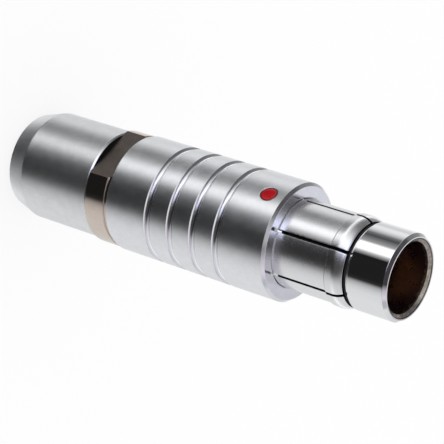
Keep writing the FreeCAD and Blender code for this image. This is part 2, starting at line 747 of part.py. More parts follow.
def make_latch_sleeve():
    """Six spring fingers with latching heads, cut into one turned tube."""
    latch = turned("latch_sleeve", [
        ("Radii.finger_bore_radius", "Place.latch_rear"),
        ("Radii.latch_radius", "Place.latch_rear"),
        ("Radii.latch_radius", "Place.head_line"),
        ("Radii.head_crest_radius", "Place.head_crest"),
        ("Radii.head_crest_radius", "Place.finger_tip - Dim.head_bevel_length"),
        ("Radii.head_tip_radius", "Place.finger_tip"),
        ("Radii.head_inner_radius", "Place.finger_tip"),
        ("Radii.head_inner_radius", "Place.head_crest"),
        ("Radii.finger_bore_radius", "Place.head_line"),
    ])
    round_edges(latch, "heads", [
        ("Radii.head_crest_radius", "Place.head_crest"),
        ("Radii.head_crest_radius", "Place.finger_tip - Dim.head_bevel_length"),
    ], "Dim.head_round")
    clear = "Radii.head_crest_radius + Dim.slot_width"
    inside = "Radii.head_inner_radius - Dim.slot_width"
    tip = "Place.finger_tip + Dim.slot_width"
    radial_slots(latch, "slot",
                 [(inside, "Place.slot_root"), (clear, "Place.slot_root"), (clear, tip), (inside, tip)],
                 "Dim.slot_width", "Dim.finger_count")
    return latch


def make_sleeve_stop_ring():
    inner = "Radii.finger_bore_radius"
    outer = "Radii.skirt_bore_radius - Dim.fixed_clearance"
    ring = turned("sleeve_stop_ring", [
        (inner, "Place.stop_ring_rear"),
        (outer, "Place.stop_ring_rear"),
        (outer, "Place.stop_ring_front"),
        (inner, "Place.stop_ring_front"),
    ])
    middle = "(Radii.finger_bore_radius + Radii.neck_radius) / 2"
    clear = "Radii.neck_radius + Dim.key_slot_depth"
    below = "Place.stop_ring_rear - Dim.key_slot_depth"
    floor = "Place.stop_ring_rear + Dim.stop_ring_length / 2"
    radial_slots(ring, "key_slot", [(middle, below), (clear, below), (clear, floor), (middle, floor)],
                 "Dim.key_slot_width", "2")
    return ring


pieces = [
    make_nose_shell(),
    make_nose_seal_ring(),
    make_front_insulator(),
    make_shield_contact(),
    make_centre_insulator(),
    make_centre_contact(),
    make_rear_insulator(),
    make_spacer_tube(),
    make_insert_lock_ring(),
    make_clamp_body(),
    make_screen_clamp_ring(),
    make_screen_cone(),
    make_gland_ring("front_thrust_washer", "Place.cable_seal_front", "Place.screen_cone_rear"),
    make_gland_ring("cable_seal", "Place.cable_seal_rear", "Place.cable_seal_front"),
    make_gland_ring("rear_thrust_washer", "Place.collet_front", "Place.cable_seal_rear"),
    make_cable_collet(),
    make_back_nut(),
    make_grip_sleeve(),
    make_latch_sleeve(),
    make_sleeve_stop_ring(),
    make_index_dot(),
]
doc.recompute()


# Every object has to be sound before anything is written

for thing in doc.Objects:
    if "Invalid" in thing.State or "Error" in thing.State:
        raise RuntimeError("failed object " + thing.Label)
for piece in pieces:
    if piece.Shape.isNull() or not piece.Shape.isValid():
        raise RuntimeError("bad shape " + piece.Label)

os.makedirs("parts", exist_ok=True)
for piece in pieces:
    piece.Shape.exportStep("parts/" + piece.Label + ".step")
    box = piece.Shape.BoundBox
    print("%-22s solids %d  volume %9.3f  z %7.3f to %7.3f"
          % (piece.Label, len(piece.Shape.Solids), piece.Shape.Volume, box.ZMin, box.ZMax))
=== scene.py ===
"""Looks for the circular connector: turned pieces, finishes, studio light and camera.

The plug stands on its cable end. Lengths are in millimetres until a mesh is made, and
heights are above the rear face, as in the CAD frame.
"""

import json
import math

import bmesh
import bpy
from mathutils import Matrix, Vector


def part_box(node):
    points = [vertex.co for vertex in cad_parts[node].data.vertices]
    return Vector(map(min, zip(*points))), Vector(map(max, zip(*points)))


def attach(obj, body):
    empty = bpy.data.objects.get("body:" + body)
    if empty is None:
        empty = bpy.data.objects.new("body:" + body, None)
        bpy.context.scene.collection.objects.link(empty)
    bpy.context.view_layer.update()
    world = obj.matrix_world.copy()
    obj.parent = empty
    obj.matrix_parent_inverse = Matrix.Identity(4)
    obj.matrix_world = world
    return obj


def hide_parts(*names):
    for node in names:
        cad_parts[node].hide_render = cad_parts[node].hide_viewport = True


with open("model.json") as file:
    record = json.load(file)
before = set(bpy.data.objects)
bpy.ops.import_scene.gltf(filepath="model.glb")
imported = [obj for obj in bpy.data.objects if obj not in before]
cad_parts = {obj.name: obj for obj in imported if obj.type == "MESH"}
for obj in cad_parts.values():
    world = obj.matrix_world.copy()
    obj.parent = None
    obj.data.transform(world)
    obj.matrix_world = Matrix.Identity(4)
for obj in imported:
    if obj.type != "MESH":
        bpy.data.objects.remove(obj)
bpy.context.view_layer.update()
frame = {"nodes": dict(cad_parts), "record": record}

MM = 0.001


def top(node):
    """The node's highest point, in millimetres."""
    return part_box(node)[1].z / MM


def bottom(node):
    """The node's lowest point."""
    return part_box(node)[0].z / MM


def outer_radius(node):
    """The node's reach from the axis."""
    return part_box(node)[1].x / MM


# Sizes read from the frame

nose_front = top("nose_shell")
shell_rear = bottom("nose_shell")
nut_front = top("back_nut")
sleeve_front = top("grip_sleeve")
sleeve_rear = bottom("grip_sleeve")
sleeve_radius = outer_radius("grip_sleeve")
finger_tip = top("latch_sleeve")
latch_rear = bottom("latch_sleeve")
crest_radius = outer_radius("latch_sleeve")
collar_radius = outer_radius("clamp_body")
body_rear = bottom("clamp_body")
neck_front = top("clamp_body")
nut_radius = outer_radius("back_nut")
stop_ring_front = top("sleeve_stop_ring")
shield_rear = bottom("shield_contact")
shield_front = top("shield_contact")
pin_front = top("centre_contact")
cup_rear = bottom("centre_contact")
collet_rear, collet_front = bottom("cable_collet"), top("cable_collet")

# Sizes that the boxes don't tell. The main forms have the CAD source's values; the small
# edges and the slots' width follow the photograph more closely.

nose_radius = 6.53
nose_rear = nose_front - 6.77
nose_back_drop, nose_back_length = 0.24, 0.45
lead_drop, lead_length = 0.43, 0.52
rim_width = 0.16
bore_radius = 5.31
bore_floor = nose_front - 6.4
mouth_depth = 0.47
rib_radius = 4.6
rib_rear = bore_floor - 2.1
insert_radius = 5.0
guide_radius = 6.1
relief_radius = 5.7
flange_radius = 7.2
flange_rear = stop_ring_front + 0.05
flange_front = flange_rear + 3.4
seal_rear = finger_tip + 0.07
seal_front = seal_rear + 0.4
seal_inner = relief_radius + 0.03
seal_radius = 6.2
latch_radius = 6.68
finger_bore = 6.15
slot_root = sleeve_front + 0.65
slot_width = 0.51
finger_count = 6
head_crest = finger_tip - 1.7
head_line = finger_tip - 2.8
head_curve = 2.9
head_inner_radius = 6.0
skirt_bore = 8.35
mouth_bore = 8.7
neck_radius = 8.3
shoulder_radius = 8.65
chamber_radius = 7.6
sleeve_step = flange_front + 0.6
sleeve_bore = 6.73
sleeve_bevel, sleeve_back_bevel, sleeve_bore_bevel = 0.44, 0.15, 0.2
groove_count = 4
groove_pitch = 4.22
groove_width = 1.2
groove_depth = 0.38
front_groove = sleeve_front - 8.7
dot_radius = 1.32
dot_depth = 0.6
dot_height = sleeve_front - 3.05
collar_front = nut_front + 3.75
collar_bevel, collar_back_bevel = 0.1, 0.14
shoulder_front = collar_front + 2.0
mouth_floor = shoulder_front + 0.7
flat_half_width = 7.4
flat_front = nut_front + 7.35
thread_radius = 7.0
body_bore = 5.6
body_guide_bore = guide_radius + 0.05
cable_bore = 4.75
cable_bore_front = 3.4
cable_bevel = 0.35
cone_length = 3.6
nut_end_radius = 7.4
nut_bevel_drop, nut_bevel_length = 0.16, 0.27
nut_thread_radius = 7.05
nut_thread_rear = body_rear - 0.7
collet_seat_radius = 6.4
collet_head_radius = 6.25
collet_seat = 6.4
collet_bore, collet_end_radius, collet_neck_radius = 4.3, 4.75, 5.57
shield_bore, shield_radius, shield_flange_radius = 2.7, 3.2, 4.5
shield_flange_front = rib_rear - 8.9
shield_flange_rear = shield_flange_front - 1.5
pin_radius, pin_flange_radius = 1.0, 1.7
pin_flange_front = shield_rear + 1.5
cup_bore, cup_radius = 1.0, 1.4
cup_floor = cup_rear + 5.0


# Turned pieces

CRISP, EDGE, SOFT = 0.03, 0.05, 0.1    # the usual roundings of corners
ARC_STEP = math.radians(22.5)
ARC_SHARE = 0.45                   # of the shorter line beside a corner, the most that its arc takes
STRAIGHT = math.radians(178)       # an opening wider than this is no corner
HOLD = 0.02                        # from a corner to the ring that keeps the line beside it straight
LONG_LINE = 6 * HOLD
COLUMNS = 240                      # faces once round a piece
WELD = 1e-4                        # points nearer to each other than this become one
TINY = 1e-6                        # slack where heights or radii are compared


class Corner:
    """A corner of a turned outline. Its finish is that of the line that starts there, and
    None is the piece's first finish."""

    def __init__(self, radius, height, rounding=0.0, finish=None):
        self.radius, self.height = radius, height
        self.rounding, self.finish = rounding, finish

    def spot(self):
        return Vector((self.radius, self.height))


def arc(before, corner, after):
    """The points that take the corner's place, its arc or the corner itself, and whether
    the outline turns there."""
    here = corner.spot()
    back, on = before.spot() - here, after.spot() - here
    opening = back.angle(on, math.pi)
    if corner.rounding <= 0 or opening > STRAIGHT:
        return [corner], opening < STRAIGHT
    reach = min(corner.rounding / math.tan(opening / 2), ARC_SHARE * back.length, ARC_SHARE * on.length)
    radius = reach * math.tan(opening / 2)
    middle = here + (back.normalized() + on.normalized()).normalized() * (radius / math.sin(opening / 2))
    start, end = here + back.normalized() * reach - middle, here + on.normalized() * reach - middle
    turn = start.angle_signed(end)
    steps = max(2, math.ceil(abs(turn) / ARC_STEP))
    points = []
    for step in range(steps + 1):
        spot = middle + Matrix.Rotation(-turn * step / steps, 2) @ start
        finish = before.finish if step < steps / 2 else corner.finish
        points.append(Corner(spot.x, spot.y, 0.0, finish))
    return points, True


def rounded(corners):
    """The closed outline's points. Long lines get a point close to each end, so that
    smooth shading bends only the arcs."""
    arcs = [arc(corners[k - 1], corners[k], corners[(k + 1) % len(corners)]) for k in range(len(corners))]
    points = []
    for k, (here, turns) in enumerate(arcs):
        after, after_turns = arcs[(k + 1) % len(arcs)]
        points += here
        start, end = here[-1].spot(), after[0].spot()
        way = end - start
        if way.length > LONG_LINE:
            finish = here[-1].finish
            if turns:
                spot = start + way.normalized() * HOLD
                points.append(Corner(spot.x, spot.y, 0.0, finish))
            if after_turns:
                spot = end - way.normalized() * HOLD
                points.append(Corner(spot.x, spot.y, 0.0, finish))
    return points


def mesh_piece(name, vertices, faces, marks, finishes):
    """A smooth object of these faces, in millimetres. A face's mark is one of the finishes, or
    None for the first."""
    work = bmesh.new()
    made = [work.verts.new(v) for v in vertices]
    for face, mark in zip(faces, marks):
        built = work.faces.new([made[n] for n in face])
        built.material_index = 0 if mark is None else finishes.index(mark)
        built.smooth = True
    bmesh.ops.remove_doubles(work, verts=work.verts, dist=WELD)
    bmesh.ops.recalc_face_normals(work, faces=work.faces)
    bmesh.ops.scale(work, verts=work.verts, vec=(MM, MM, MM))
    mesh = bpy.data.meshes.new(name)
    work.to_mesh(mesh)
    work.free()
    for finish in finishes:
        mesh.materials.append(finish)
    piece = bpy.data.objects.new(name, mesh)
    bpy.context.scene.collection.objects.link(piece)
    return piece


def even_angles(columns):
    return [2 * math.pi * i / columns for i in range(columns)]


def spun(points, angles, left_open=None):
    """Vertices, faces and finish marks of an outline turned round the axis."""
    columns = len(angles)
    vertices = [(p.radius * math.cos(a), p.radius * math.sin(a), p.height) for p in points for a in angles]
    faces, marks = [], []
    for k, here in enumerate(points):
        m = (k + 1) % len(points)
        for i in range(columns):
            if left_open and left_open(here, points[m], i):
                continue
            j = (i + 1) % columns
            faces.append((k * columns + i, k * columns + j, m * columns + j, m * columns + i))
            marks.append(here.finish)
    return vertices, faces, marks


def turned(name, corners, finishes, columns=COLUMNS):
    return mesh_piece(name, *spun(rounded(corners), even_angles(columns)), finishes)


# Slotted pieces

def split_at(points, height):
    """Adds points where the closed outline crosses a height."""
    result = []
    for k, here in enumerate(points):
        after = points[(k + 1) % len(points)]
        result.append(here)
        low, high = sorted((here.height, after.height))
        if low + TINY < height < high - TINY:
            share = (height - here.height) / (after.height - here.height)
            radius = here.radius + share * (after.radius - here.radius)
            result.append(Corner(radius, height, 0.0, here.finish))
    return result


def outward_ways(points):
    """At each point of the closed outline, the way out of the material."""
    count = len(points)
    area = sum(points[k - 1].radius * points[k].height - points[k].radius * points[k - 1].height
               for k in range(count))
    ways = []
    for k in range(count):
        back = (points[k].spot() - points[k - 1].spot()).normalized()
        on = (points[(k + 1) % count].spot() - points[k].spot()).normalized()
        along = (back + on).normalized()
        ways.append(Vector((along.y, -along.x)) * math.copysign(1, area))
    return ways


EDGE_BENDS = [math.radians(angle) for angle in (0, 30, 60, 90)]


def slotted(name, corners, finishes, count, width, root, columns_each, wall_finish=None, toward_front=True,
            edge_round=CRISP):
    """A turned piece with parallel-sided slots cut from its end to the height root. The
    slots' long edges are rounded a little, which makes them catch the light."""
    sign = 1 if toward_front else -1
    points = split_at(split_at(rounded(corners), root), root + sign * edge_round)
    ways = outward_ways(points)
    is_cut = [sign * (p.height - root) > -TINY for p in points]
    fades = [min(1.0, max(0.0, sign * (p.height - root) / edge_round)) for p in points]
    half, pitch = width / 2, 2 * math.pi / count
    edge = [(half + edge_round * (1 - math.cos(b)), edge_round * (1 - math.sin(b))) for b in EDGE_BENDS]
    vertices, columns = [], []

    def add_column(angle_at, inset):
        column = []
        for point, way, fade in zip(points, ways, fades):
            spot = point.spot() - way * (inset * fade)
            angle = angle_at(spot.x)
            column.append(len(vertices))
            vertices.append((spot.x * math.cos(angle), spot.x * math.sin(angle), spot.y))
        columns.append(column)

    for sector in range(count):
        low = sector * pitch
        for offset, inset in edge:
            add_column(lambda radius: low + math.asin(offset / radius), inset)
        for n in range(1, columns_each):
            share = n / columns_each
            add_column(lambda radius: low + pitch * share
                       + math.asin((half + edge_round) / radius) * (1 - 2 * share), 0.0)
        for offset, inset in reversed(edge):
            add_column(lambda radius: low + pitch - math.asin(offset / radius), inset)
    per_sector = len(columns) // count
    faces, marks = [], []
    run = cut_run(is_cut)
    for i, column in enumerate(columns):
        beside = columns[(i + 1) % len(columns)]
        at_slot = i % per_sector == per_sector - 1
        for k, point in enumerate(points):
            m = (k + 1) % len(points)
            if not (at_slot and is_cut[k] and is_cut[m]):
                faces.append((column[k], beside[k], beside[m], column[m]))
                marks.append(point.finish)
        if at_slot:
            faces.append([column[k] for k in run])
            faces.append([beside[k] for k in reversed(run)])
            faces.append((column[run[0]], column[run[-1]], beside[run[-1]], beside[run[0]]))
            marks += [wall_finish] * 3
    return mesh_piece(name, vertices, faces, marks, finishes)


def cut_run(is_cut):
    """The numbers of the points that a slot takes away, in order from wall to wall."""
    start = next(k for k in range(len(is_cut)) if is_cut[k] and not is_cut[k - 1])
    run = []
    while is_cut[(start + len(run)) % len(is_cut)]:
        run.append((start + len(run)) % len(is_cut))
    return run


# Node helpers

def new_material(name):
    material = bpy.data.materials.new(name)
    material.use_nodes = True
    nodes, links = material.node_tree.nodes, material.node_tree.links
    return material, nodes, links, nodes["Principled BSDF"]


def add(nodes, kind, **settings):
    node = nodes.new(kind)
    for key, setting in settings.items():
        setattr(node, key, setting)
    return node


def noise(nodes, links, place, size, detail=2.0, fineness=0.5):
    """Clouds of about this size, in metres. place is a point, or a height alone. fineness is the
    share that each finer step of detail keeps."""
    along_one = place.type == "VALUE"
    node = add(nodes, "ShaderNodeTexNoise", noise_dimensions="1D" if along_one else "3D")
    node.inputs["Scale"].default_value = 1 / size
    node.inputs["Detail"].default_value = detail
    node.inputs["Roughness"].default_value = fineness
    links.new(place, node.inputs["W" if along_one else "Vector"])
    return node.outputs["Fac"]


def spread(nodes, links, source, low, high, from_low=0.3, from_high=0.7):
    """Maps a value from one range to another. The first range is that of a noise, if not given."""
    node = add(nodes, "ShaderNodeMapRange")
    ends = {"From Min": from_low, "From Max": from_high, "To Min": low, "To Max": high}
    for socket, amount in ends.items():
        node.inputs[socket].default_value = amount
    links.new(source, node.inputs["Value"])
    return node.outputs["Result"]


def mixed(nodes, links, factor, first, second):
    """A colour between two, each of them a colour or another node's output."""
    node = add(nodes, "ShaderNodeMix", data_type="RGBA")
    colours = [socket for socket in node.inputs if socket.type == "RGBA"]
    for socket, colour in zip(colours, (first, second)):
        if isinstance(colour, bpy.types.NodeSocket):
            links.new(colour, socket)
        else:
            socket.default_value = (*colour, 1)
    links.new(factor, node.inputs["Factor"])
    return next(socket for socket in node.outputs if socket.type == "RGBA")


def bump(nodes, links, height, distance, before=None):
    node = add(nodes, "ShaderNodeBump")
    node.inputs["Distance"].default_value = distance
    links.new(height, node.inputs["Height"])
    if before is not None:
        links.new(before, node.inputs["Normal"])
    return node.outputs["Normal"]


COLOUR_CLOUDS = 0.0016             # sizes of the clouds in colour and gloss, in metres
GLOSS_CLOUDS = 0.0012
PLASTIC_GLOSS_CLOUDS = 0.0007
WAVER_CLOUDS = 0.0006
WAVER = 0.8 * MM                   # of the line where a metal's painted shade begins
COAT_GLOSS = 0.08


def metal(name, pale, deep, gloss, grain=None, rings=None, painted_shade_below=None):
    """Plated or bare metal. gloss is its lowest and highest roughness; grain and rings are the
    height and size of the bead-blasted grain and the turning marks, in metres. The last
    argument, (colour, low, high), is painted shade: below the height low the colour takes over."""
    material, nodes, links, shader = new_material(name)
    place = add(nodes, "ShaderNodeTexCoord").outputs["Object"]
    parts = add(nodes, "ShaderNodeSeparateXYZ")
    links.new(place, parts.inputs[0])
    height = parts.outputs["Z"]
    clouds = noise(nodes, links, place, COLOUR_CLOUDS, detail=4.0, fineness=0.85)
    colour = mixed(nodes, links, spread(nodes, links, clouds, 0, 1), pale, deep)
    if painted_shade_below:
        shade, low, high = painted_shade_below
        uneven = add(nodes, "ShaderNodeMath", operation="MULTIPLY_ADD")
        uneven.inputs[1].default_value = WAVER
        links.new(noise(nodes, links, place, WAVER_CLOUDS), uneven.inputs[0])
        links.new(height, uneven.inputs[2])
        above = spread(nodes, links, uneven.outputs[0], 0, 1, low * MM, high * MM)
        colour = mixed(nodes, links, above, shade, colour)
    links.new(colour, shader.inputs["Base Color"])
    gloss_clouds = noise(nodes, links, place, GLOSS_CLOUDS, detail=3.0)
    links.new(spread(nodes, links, gloss_clouds, *gloss), shader.inputs["Roughness"])
    shader.inputs["Metallic"].default_value = 1.0
    normal = None
    if rings:
        normal = bump(nodes, links, noise(nodes, links, height, rings[1], detail=3.0), rings[0])
    if grain:
        normal = bump(nodes, links, noise(nodes, links, place, grain[1]), grain[0], normal)
    if normal is not None:
        links.new(normal, shader.inputs["Normal"])
    return material


def plastic(name, pale, deep, gloss, grain, coat=0.0, specular=0.5):
    """Plastic, rubber or enamel, with the same meanings as for metal."""
    material, nodes, links, shader = new_material(name)
    place = add(nodes, "ShaderNodeTexCoord").outputs["Object"]
    clouds = noise(nodes, links, place, COLOUR_CLOUDS, detail=4.0)
    colour = mixed(nodes, links, spread(nodes, links, clouds, 0, 1), pale, deep)
    links.new(colour, shader.inputs["Base Color"])
    gloss_clouds = noise(nodes, links, place, PLASTIC_GLOSS_CLOUDS)
    links.new(spread(nodes, links, gloss_clouds, *gloss), shader.inputs["Roughness"])
    shader.inputs["Coat Weight"].default_value = coat
    shader.inputs["Coat Roughness"].default_value = COAT_GLOSS
    shader.inputs["Specular IOR Level"].default_value = specular
    links.new(bump(nodes, links, noise(nodes, links, place, grain[1]), grain[0]), shader.inputs["Normal"])
    return material


# Finishes

satin_chrome = metal("satin_chrome_finish", (0.90, 0.91, 0.93), (0.815, 0.825, 0.845), (0.28, 0.32),
                     grain=(3.0e-6, 1.5e-4), rings=(2e-7, 1.1e-4))
# A darker chrome: painted shade on the front walls of the grooves
groove_painted_shade = metal("groove_shade_finish", (0.68, 0.69, 0.71), (0.56, 0.57, 0.59), (0.24, 0.28),
                     grain=(2e-6, 1.6e-4), rings=(2e-7, 1.1e-4))
nut_satin = metal("nut_satin_finish", (0.855, 0.865, 0.875), (0.765, 0.775, 0.785), (0.31, 0.35),
                  grain=(3.5e-6, 1.6e-4), rings=(2e-7, 1.2e-4))
latch_satin = metal("latch_satin_finish", (0.87, 0.87, 0.88), (0.84, 0.84, 0.86), (0.26, 0.275),
                    grain=(5e-7, 1.3e-4), rings=(2.5e-7, 1.0e-4))
turned_bright = metal("turned_bright_finish", (0.88, 0.88, 0.91), (0.82, 0.82, 0.86), (0.15, 0.21),
                      rings=(5e-7, 1.2e-4))
mirror_chrome = metal("mirror_chrome_finish", (0.92, 0.92, 0.93), (0.90, 0.90, 0.91), (0.04, 0.06),
                      rings=(1.2e-7, 9e-5))
# Near the mouth the bore has its own beige and brown clouds; deeper down it turns near-black brown, painted
# shade of the deep bore
nose_bore_finish = metal("nose_bore_finish", (0.64, 0.585, 0.53), (0.15, 0.125, 0.10), (0.26, 0.36),
                         grain=(1.5e-6, 1.5e-4), rings=(1.1e-5, 1.6e-4),
                         painted_shade_below=((0.17, 0.10, 0.098), nose_front - 0.52, nose_front - 0.36))
warm_nickel = metal("warm_nickel_finish", (0.74, 0.65, 0.58), (0.68, 0.59, 0.52), (0.09, 0.13),
                    grain=(3e-7, 2e-4), rings=(1e-7, 1e-4))
# Rough milled flats, coloured near-black brown as a painted dark reflection
milled_flat_painted_reflection = metal("milled_nickel_finish", (0.21, 0.178, 0.158), (0.18, 0.152, 0.136), (0.36, 0.42),
                      grain=(4e-7, 2e-4))
turned_brass = metal("turned_brass_finish", (0.76, 0.60, 0.33), (0.66, 0.50, 0.26), (0.24, 0.32),
                     grain=(1e-6, 1e-4), rings=(1.5e-6, 1.1e-4))
gold_plate = metal("gold_plate_finish", (0.93, 0.72, 0.34), (0.87, 0.66, 0.29), (0.13, 0.19),
                   grain=(3e-7, 1e-4), rings=(5e-7, 1.1e-4))
washer_steel = metal("washer_steel_finish", (0.60, 0.60, 0.62), (0.50, 0.50, 0.52), (0.30, 0.38),
                     grain=(1.5e-6, 1e-4), rings=(1e-6, 1.1e-4))
# Near-black metal: painted shade in slots, gaps, fine lines and faces tucked behind other parts
recess_painted_shade = metal("slot_dark_finish", (0.05, 0.05, 0.055), (0.03, 0.03, 0.033), (0.45, 0.55),
                  grain=(1.5e-6, 1e-4))
ivory_insulator = plastic("ivory_insulator_finish", (0.86, 0.84, 0.78), (0.80, 0.78, 0.71), (0.35, 0.5),
                          grain=(2e-6, 1e-4))
black_rubber = plastic("black_rubber_finish", (0.010, 0.010, 0.011), (0.018, 0.018, 0.019), (0.5, 0.65),
                       grain=(4e-6, 1e-4), specular=0.25)
red_enamel = plastic("red_enamel_finish", (0.44, 0.001, 0.007), (0.35, 0.001, 0.005), (0.18, 0.26),
                     grain=(1e-6, 2e-4), coat=0.2, specular=0.2)
# The dot's darker rim enamel is painted shade where the dot sinks into its seat
rim_painted_shade = plastic("rim_enamel_finish", (0.20, 0.002, 0.006), (0.12, 0.001, 0.004), (0.25, 0.35),
                     grain=(1e-6, 2e-4), coat=0.2, specular=0.25)


def carry(piece, body, nodes):
    """The piece moves with the body and stands for its CAD nodes, which are hidden."""
    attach(piece, body)
    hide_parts(*nodes)


# Nose shell and its seal ring; a fine turned line runs round the mouth's slope

MOUTH_LINE_AT, MOUTH_LINE_HALF, MOUTH_LINE_DEPTH = 0.20, 0.05, 0.07


def mouth_line_corners():
    """The line's two edges and its bottom, on the slope from the rim down to the bore."""
    rim = Vector((nose_radius - lead_drop - rim_width, nose_front))
    slope = Vector((bore_radius, nose_front - mouth_depth)) - rim
    along = slope.normalized()
    into_wall = Vector((-along.y, along.x))
    line = rim + slope * MOUTH_LINE_AT
    first, last = line - along * MOUTH_LINE_HALF, line + along * MOUTH_LINE_HALF
    deepest = line + into_wall * MOUTH_LINE_DEPTH
    # the fine line's walls are painted shade
    return [Corner(*first, 0.0, recess_painted_shade), Corner(*deepest, 0.0, recess_painted_shade),
            Corner(*last, 0.0, nose_bore_finish)]


nose_shell = turned("nose_shell_turned", [
    Corner(insert_radius, shell_rear, SOFT),
    Corner(guide_radius, shell_rear, 0.2),
    Corner(guide_radius, flange_rear, EDGE),
    Corner(flange_radius, flange_rear, SOFT),
    Corner(flange_radius, flange_front, SOFT),
    Corner(guide_radius, flange_front, EDGE),
    # the shell under the latch and sleeve is painted shade
    Corner(guide_radius, sleeve_front, 0.0, recess_painted_shade),
    Corner(relief_radius, slot_root, 0.0, recess_painted_shade),
    Corner(relief_radius, nose_rear, 0.04),
    Corner(nose_radius - nose_back_drop, nose_rear, CRISP),
    Corner(nose_radius, nose_rear + nose_back_length, EDGE),
    Corner(nose_radius, nose_front - lead_length, 0.06),
    Corner(nose_radius - lead_drop, nose_front, 0.045),
    Corner(nose_radius - lead_drop - rim_width, nose_front, CRISP, nose_bore_finish),
    *mouth_line_corners(),
    Corner(bore_radius, nose_front - mouth_depth, 0.08, nose_bore_finish),
    Corner(bore_radius, bore_floor, SOFT, nose_bore_finish),
    Corner(rib_radius, bore_floor, 0.06, nose_bore_finish),
    Corner(rib_radius, rib_rear, EDGE),
    Corner(insert_radius, rib_rear, EDGE),
], [mirror_chrome, nose_bore_finish, recess_painted_shade], columns=288)
carry(nose_shell, "core", ["nose_shell"])

seal_ring = turned("nose_seal_turned", [
    Corner(seal_inner, seal_rear, EDGE),
    Corner(seal_radius, seal_rear, 0.15),
    Corner(seal_radius, seal_front, 0.15),
    Corner(seal_inner, seal_front, EDGE),
], [black_rubber], columns=192)
carry(seal_ring, "core", ["nose_seal_ring"])


# Latch sleeve with its six fingers; a fine turned line marks where the heads begin

LINE_DEPTH, LINE_HALF = 0.05, 0.05
HEAD_STEP_DROP, HEAD_STEP_AT = 0.03, 0.14
HEAD_STEPS = 8
TIP_ROUNDING = 0.06


def head_curve_corners():
    """The head's outside from its crest down to the tip."""
    corners = []
    end_angle = math.asin((finger_tip - head_crest) / head_curve)
    for step in range(HEAD_STEPS + 1):
        angle = end_angle * step / HEAD_STEPS
        corners.append(Corner(crest_radius - head_curve * (1 - math.cos(angle)),
                              head_crest + head_curve * math.sin(angle)))
    # the tip's front face is painted shade
    corners[-1].rounding, corners[-1].finish = TIP_ROUNDING, recess_painted_shade
    return corners


# the head line's walls, the bore, the finger tips and the slot walls are painted shade
latch_sleeve = slotted("latch_sleeve_fingers", [
    Corner(finger_bore, latch_rear, SOFT),
    Corner(latch_radius, latch_rear, SOFT),
    Corner(latch_radius, head_line - LINE_HALF, 0.0, recess_painted_shade),
    Corner(latch_radius - LINE_DEPTH, head_line, 0.0, recess_painted_shade),
    Corner(latch_radius, head_line + LINE_HALF),
    Corner(crest_radius - HEAD_STEP_DROP, head_line + HEAD_STEP_AT, EDGE),
    *head_curve_corners(),
    Corner(head_inner_radius, finger_tip, EDGE, recess_painted_shade),
    Corner(head_inner_radius, head_crest, EDGE, recess_painted_shade),
    Corner(finger_bore, head_line, 0.0, recess_painted_shade),
], [latch_satin, recess_painted_shade], finger_count, slot_width, slot_root, columns_each=36, wall_finish=recess_painted_shade,
    edge_round=0.01)
carry(latch_sleeve, "release_sleeve", ["latch_sleeve"])


# Grip sleeve: round-bottomed grooves, a polished front end, and the dot's round seat

GROOVE_STEPS = 12
GROOVE_FRONT_PART = 8              # from this step on the groove's wall is painted shade, a darker chrome
groove_arc = ((groove_width / 2) ** 2 + groove_depth ** 2) / (2 * groove_depth)
groove_half_angle = math.asin(groove_width / 2 / groove_arc)


def groove_corners():
    """The sleeve's grooves from the rear one to the front one."""
    corners = []
    middle_radius = sleeve_radius - groove_depth + groove_arc
    for n in reversed(range(groove_count)):
        height = front_groove - n * groove_pitch
        for step in range(GROOVE_STEPS + 1):
            angle = groove_half_angle * (2 * step / GROOVE_STEPS - 1)
            rounding = CRISP if step in (0, GROOVE_STEPS) else 0.0
            if step == GROOVE_STEPS:
                finish = satin_chrome
            elif step >= GROOVE_FRONT_PART:
                finish = groove_painted_shade
            else:
                finish = turned_bright
            corners.append(Corner(middle_radius - groove_arc * math.cos(angle),
                                  height + groove_arc * math.sin(angle), rounding, finish))
    return corners


DOT_ANGLE = -math.pi / 2
WINDOW_HALF = 1.7                  # of the square that the dot's seat fills
WINDOW_STEPS = 12
OUTSIDE_COLUMNS = 228

window_shares = [2 * n / WINDOW_STEPS - 1 for n in range(WINDOW_STEPS + 1)]
window_angle = WINDOW_HALF / sleeve_radius
window_columns = [DOT_ANGLE + window_angle * share for share in window_shares[:-1]]
window_rows = [Corner(sleeve_radius, dot_height + WINDOW_HALF * share) for share in window_shares]
outside_angle = 2 * math.pi - 2 * window_angle
outside_columns = [DOT_ANGLE + window_angle + outside_angle * n / OUTSIDE_COLUMNS
                   for n in range(OUTSIDE_COLUMNS)]


def in_window(here, after, column):
    """Whether the face between two rings and two columns belongs to the dot's seat."""
    on_outside = min(here.radius, after.radius) > sleeve_radius - TINY
    lowest, highest = window_rows[0].height - TINY, window_rows[-1].height + TINY
    return column < WINDOW_STEPS and on_outside and lowest < here.height < after.height < highest


def on_sleeve(across, up, depth=0.0):
    """A point near the dot: across and up from its centre along the sleeve's curve."""
    angle = DOT_ANGLE + across / sleeve_radius
    radius = sleeve_radius - depth
    return (radius * math.cos(angle), radius * math.sin(angle), dot_height + up)


def window_border():
    """The window's edge points, once round."""
    at = [WINDOW_HALF * share for share in window_shares[:-1]]
    return ([(a, -WINDOW_HALF) for a in at] + [(WINDOW_HALF, a) for a in at]
            + [(-a, WINDOW_HALF) for a in at] + [(-WINDOW_HALF, -a) for a in at])


def drawn_in(x, y, radius, share):
    """A point of the window's edge, moved by a share of its way to a circle round the dot."""
    reach = math.hypot(x, y)
    return x + share * (radius * x / reach - x), y + share * (radius * y / reach - y)


SEAT_LIP = dot_radius + 0.05
SEAT_RINGS = [                     # (circle's radius, share of the way to it, depth)
    *[(SEAT_LIP, share, 0.0) for share in (0.0, 0.3, 0.6, 0.85, 1.0)],
    (dot_radius + 0.02, 1.0, 0.012), (dot_radius, 1.0, 0.045), (dot_radius, 1.0, dot_depth),
]


